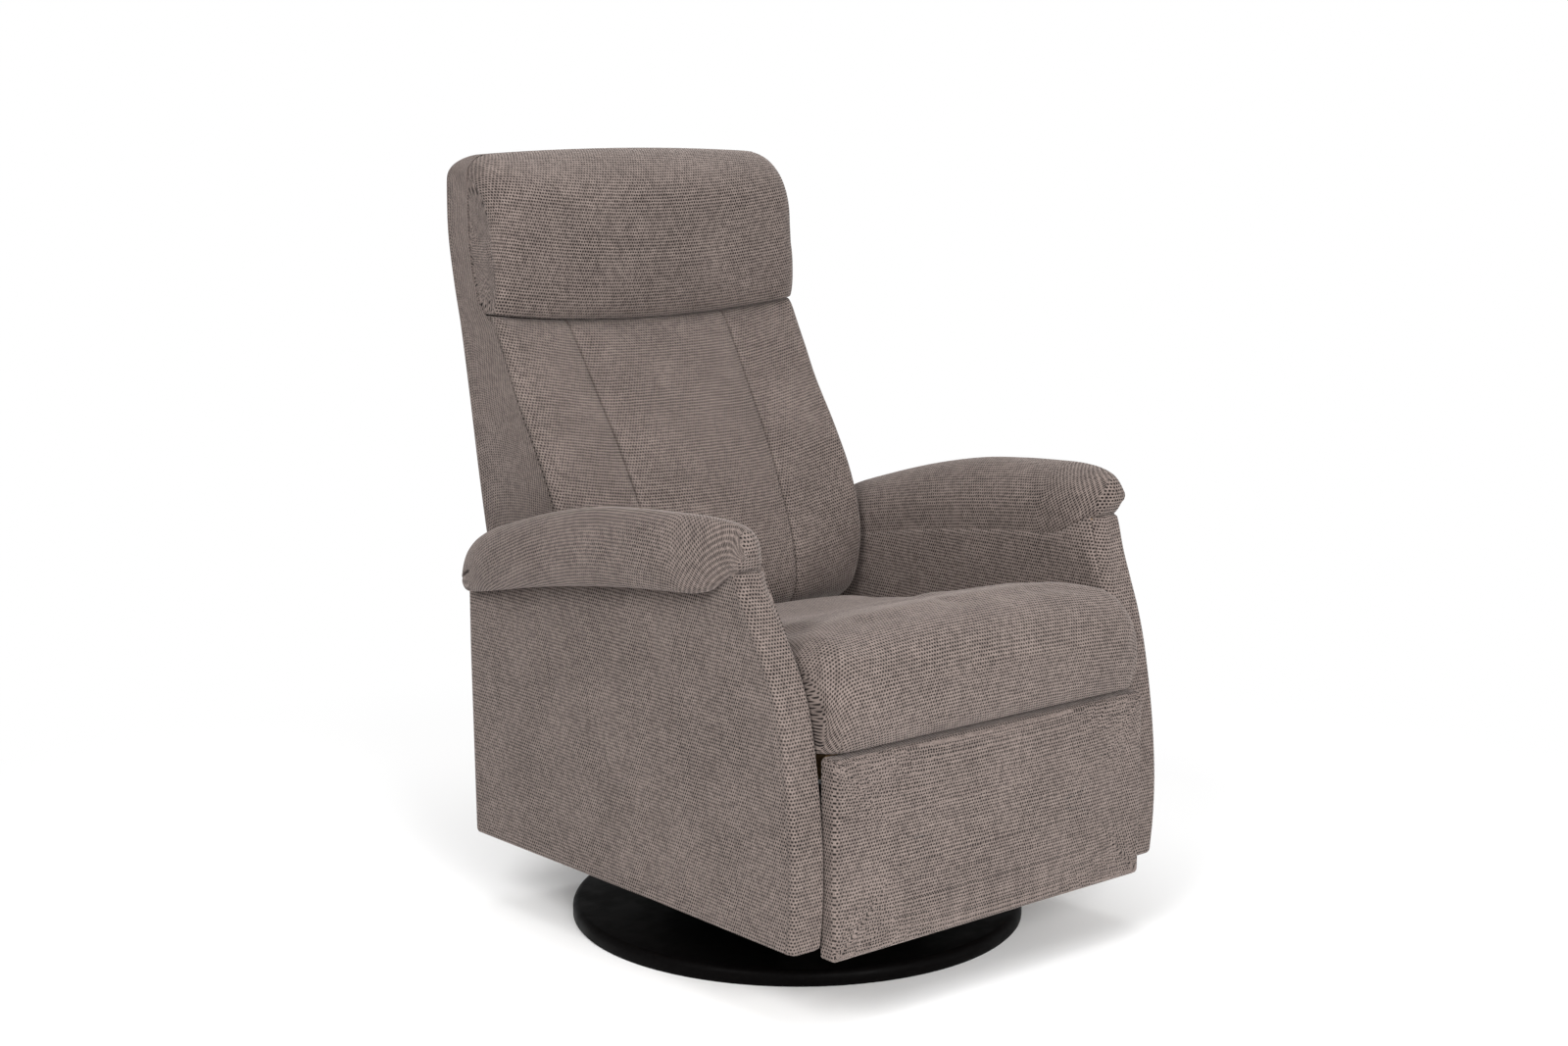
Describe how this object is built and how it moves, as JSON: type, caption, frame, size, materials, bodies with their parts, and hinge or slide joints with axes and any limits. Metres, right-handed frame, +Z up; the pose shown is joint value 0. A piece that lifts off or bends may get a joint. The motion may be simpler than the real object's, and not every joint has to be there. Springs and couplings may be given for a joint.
{
  "type": "recliner",
  "caption": "Swivel glider recliner with padded arms, a reclining back with headrest, a sloping seat cushion, a fold-out footrest and a round base.",
  "frame": {"origin": "on the floor at the swivel axis, centre of the base disc's underside", "axes": "+X to the sitter's left, -Y to the front where the footrest is, +Z up"},
  "size_m": [0.7564, 0.863, 1.074],
  "materials": {
    "fabric": "dark taupe woven upholstery fabric",
    "dark_wood": "black satin lacquered wood",
    "plywood": "raw birch plywood and solid rails",
    "black_steel": "black powder coat, satin",
    "zinc_steel": "zinc-plated steel",
    "spring_steel": "oiled spring wire"
  },
  "bodies": {
    "base": {"base_disc": "dark_wood", "swivel_lower_plate": "zinc_steel", "swivel_bearing": "zinc_steel"},
    "turntable": {"turntable_plate": "zinc_steel", "glide_tower_left": "black_steel", "glide_tower_right": "black_steel"},
    "front_links": {"swing_link_front_left": "zinc_steel", "swing_link_front_right": "zinc_steel"},
    "rear_links": {"swing_link_rear_left": "zinc_steel", "swing_link_rear_right": "zinc_steel"},
    "chassis": {"carriage_rail_left": "black_steel", "carriage_rail_right": "black_steel", "carriage_cross_rail_front": "black_steel", "carriage_cross_rail_rear": "black_steel", "arm_board_left": "plywood", "arm_board_right": "plywood", "arm_outer_cover_left": "fabric", "arm_outer_cover_right": "fabric", "arm_inner_cover_left": "fabric", "arm_inner_cover_right": "fabric", "arm_front_band_left": "fabric", "arm_front_band_right": "fabric", "arm_pad_left": "fabric", "arm_pad_right": "fabric", "seat_track_left": "zinc_steel", "seat_track_right": "zinc_steel", "rear_skirt": "fabric"},
    "seat": {"seat_side_rail_left": "plywood", "seat_side_rail_right": "plywood", "seat_front_rail": "plywood", "seat_rear_rail": "plywood", "seat_spring_1": "spring_steel", "seat_spring_2": "spring_steel", "seat_spring_3": "spring_steel", "seat_spring_4": "spring_steel", "seat_cushion": "fabric", "mechanism_plate_left": "black_steel", "mechanism_plate_right": "black_steel"},
    "back": {"back_shell": "fabric", "back_stile_left": "plywood", "back_stile_right": "plywood", "back_bottom_rail": "plywood", "back_top_rail": "plywood", "recline_bracket_left": "black_steel", "recline_bracket_right": "black_steel", "back_cushion": "fabric", "headrest_cushion": "fabric"},
    "footrest_cranks": {"footrest_front_crank_left": "black_steel", "footrest_front_crank_right": "black_steel", "footrest_torque_tube": "zinc_steel"},
    "footrest_rear_cranks": {"footrest_rear_crank_left": "black_steel", "footrest_rear_crank_right": "black_steel"},
    "footrest_lift_links": {"footrest_lift_link_left": "zinc_steel", "footrest_lift_link_right": "zinc_steel"},
    "footrest_guide_links": {"footrest_guide_link_left": "zinc_steel", "footrest_guide_link_right": "zinc_steel"},
    "footrest": {"footrest_board": "plywood", "footrest_pad": "fabric", "footrest_bracket_left": "black_steel", "footrest_bracket_right": "black_steel"}
  },
  "joints": [
    {"name": "swivel", "type": "hinge", "parent": "base", "child": "turntable", "pos_m": [0, 0, 0.035], "axis": [0, 0, 1], "continuous": true},
    {"name": "glide", "type": "hinge", "parent": "turntable", "child": "front_links", "pos_m": [0, -0.112, 0.19], "axis": [-1, 0, 0], "range_deg": [-20, 20]},
    {"name": "carriage_level", "type": "hinge", "parent": "front_links", "child": "chassis", "pos_m": [0, -0.112, 0.08], "axis": [-1, 0, 0], "range_deg": [-20.5, 20.5]},
    {"name": "rear_swing", "type": "hinge", "parent": "turntable", "child": "rear_links", "pos_m": [0, 0.112, 0.19], "axis": [-1, 0, 0], "range_deg": [-20.5, 20.5]},
    {"name": "seat_slide", "type": "slide", "parent": "chassis", "child": "seat", "axis": [0, -0.9914, 0.1305], "range_m": [0, 0.0705]},
    {"name": "recline", "type": "hinge", "parent": "seat", "child": "back", "pos_m": [0, 0.212, 0.352], "axis": [-1, 0, 0], "range_deg": [0, 38]},
    {"name": "footrest_swing", "type": "hinge", "parent": "seat", "child": "footrest_cranks", "pos_m": [0, -0.262, 0.286], "axis": [-1, 0, 0], "range_deg": [0, 88]},
    {"name": "footrest_rear_swing", "type": "hinge", "parent": "seat", "child": "footrest_rear_cranks", "pos_m": [0, -0.23148, 0.25293], "axis": [-1, 0, 0], "range_deg": [-0.5, 88.5]},
    {"name": "footrest_lift", "type": "hinge", "parent": "footrest_cranks", "child": "footrest_lift_links", "pos_m": [0, -0.21642, 0.15363], "axis": [-1, 0, 0], "range_deg": [-88.5, 0.5]},
    {"name": "footrest_board_turn", "type": "hinge", "parent": "footrest_lift_links", "child": "footrest", "pos_m": [0, -0.346, 0.294], "axis": [-1, 0, 0], "range_deg": [-0.5, 88.5]},
    {"name": "footrest_guide", "type": "hinge", "parent": "footrest_cranks", "child": "footrest_guide_links", "pos_m": [0, -0.20177, 0.11108], "axis": [-1, 0, 0], "range_deg": [-88.5, 0.5]}
  ],
  "couplings": [
    {"joint": "carriage_level", "follows": "glide", "ratio": -1},
    {"joint": "rear_swing", "follows": "glide", "ratio": 1},
    {"joint": "seat_slide", "follows": "recline", "m_per_rad": 0.10554},
    {"joint": "footrest_rear_swing", "follows": "footrest_swing", "ratio": 1},
    {"joint": "footrest_lift", "follows": "footrest_swing", "ratio": -1},
    {"joint": "footrest_board_turn", "follows": "footrest_swing", "ratio": 1},
    {"joint": "footrest_guide", "follows": "footrest_swing", "ratio": -1}
  ]
}
